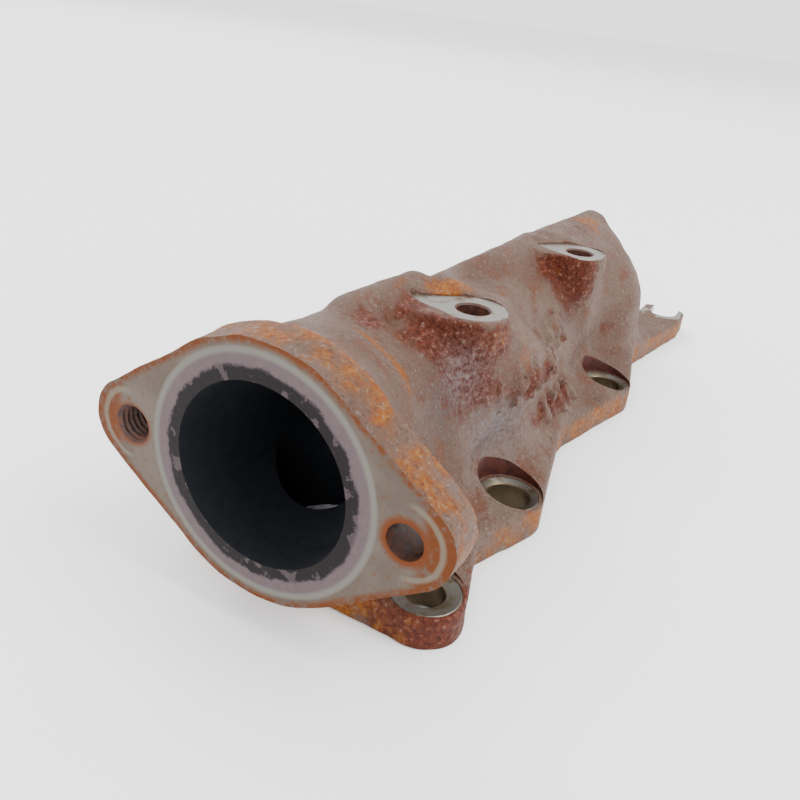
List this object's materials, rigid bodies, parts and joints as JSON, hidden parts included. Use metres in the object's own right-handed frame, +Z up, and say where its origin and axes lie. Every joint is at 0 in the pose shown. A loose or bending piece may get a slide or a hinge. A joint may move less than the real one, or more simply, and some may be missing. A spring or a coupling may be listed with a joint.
{
  "type": "exhaust manifold",
  "caption": "Log-type cast iron exhaust manifold with a two-bolt outlet flange, ports in a flat head face, steel seat sleeves and an open end slot.",
  "frame": {"origin": "axis of the locating bolt hole, on the head face", "axes": "+X along the log away from the outlet, +Z up from the head face"},
  "size_m": [0.274, 0.0834, 0.0651],
  "materials": {
    "iron": "rusted casting with machined faces",
    "steel": "turned, yellow passivated"
  },
  "bodies": {
    "root": {"manifold_casting": "iron", "seat_sleeve_1": "steel", "seat_sleeve_2": "steel", "seat_sleeve_3": "steel"}
  },
  "joints": []
}
